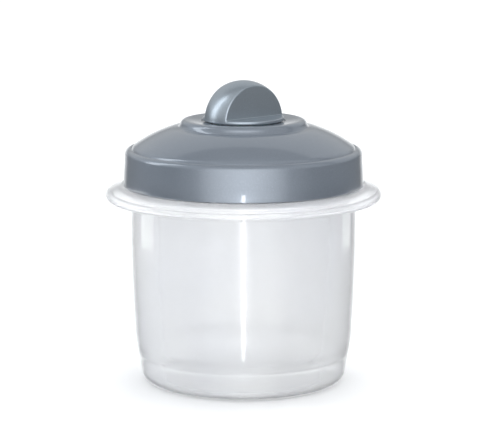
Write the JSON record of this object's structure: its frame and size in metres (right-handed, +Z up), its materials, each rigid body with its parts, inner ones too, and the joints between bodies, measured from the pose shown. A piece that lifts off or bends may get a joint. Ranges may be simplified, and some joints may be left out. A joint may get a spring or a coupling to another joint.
{
  "type": "formula dispenser",
  "caption": "Round translucent tub with a compartmented powder cup inside, a domed lid, a turning knob and a flush pour cap on the lid's back slope.",
  "frame": {"origin": "centre of the ring that the tub stands on", "axes": "+Z up along the tub's axis, -Y towards the front, +Y towards the pour slot"},
  "size_m": [0.11, 0.11, 0.1209],
  "materials": {
    "clear_tub": "moulded translucent polypropylene",
    "clear_cup": "moulded clear polypropylene",
    "pearl_lid": "pearlescent blue-grey moulded plastic",
    "pearl_deck": "pearlescent blue-grey moulded plastic",
    "knob_plastic": "glossy blue-grey moulded plastic",
    "shaft_plastic": "natural acetal",
    "seal": "translucent grey silicone",
    "steel": "stainless wire and strip"
  },
  "bodies": {
    "tub": {"tub": "clear_tub"},
    "cup": {"powder_cup": "clear_cup"},
    "lid": {"lid_dome": "pearl_lid", "lid_deck": "pearl_deck", "lid_seal": "seal", "cap_pin": "steel", "knob_washer": "seal"},
    "cap": {"pour_cap": "pearl_lid", "cap_gasket": "seal"},
    "knob": {"knob": "knob_plastic", "drive_shaft": "shaft_plastic", "shaft_clip": "steel"}
  },
  "joints": [
    {"name": "cup_turn", "type": "hinge", "parent": "tub", "child": "cup", "pos_m": [0, 0, 0.0114], "axis": [0, 0, 1], "continuous": true},
    {"name": "lid_lift", "type": "slide", "parent": "tub", "child": "lid", "axis": [0, 0, 1], "range_m": [0, 0.06]},
    {"name": "knob_turn", "type": "hinge", "parent": "lid", "child": "knob", "pos_m": [0, 0, 0.1047], "axis": [0, 0, 1], "continuous": true},
    {"name": "cap_flip", "type": "hinge", "parent": "lid", "child": "cap", "pos_m": [0, 0.029, 0.09985], "axis": [1, 0, 0], "range_deg": [0, 110]}
  ],
  "couplings": [
    {"joint": "knob_turn", "follows": "cup_turn", "ratio": 1}
  ]
}
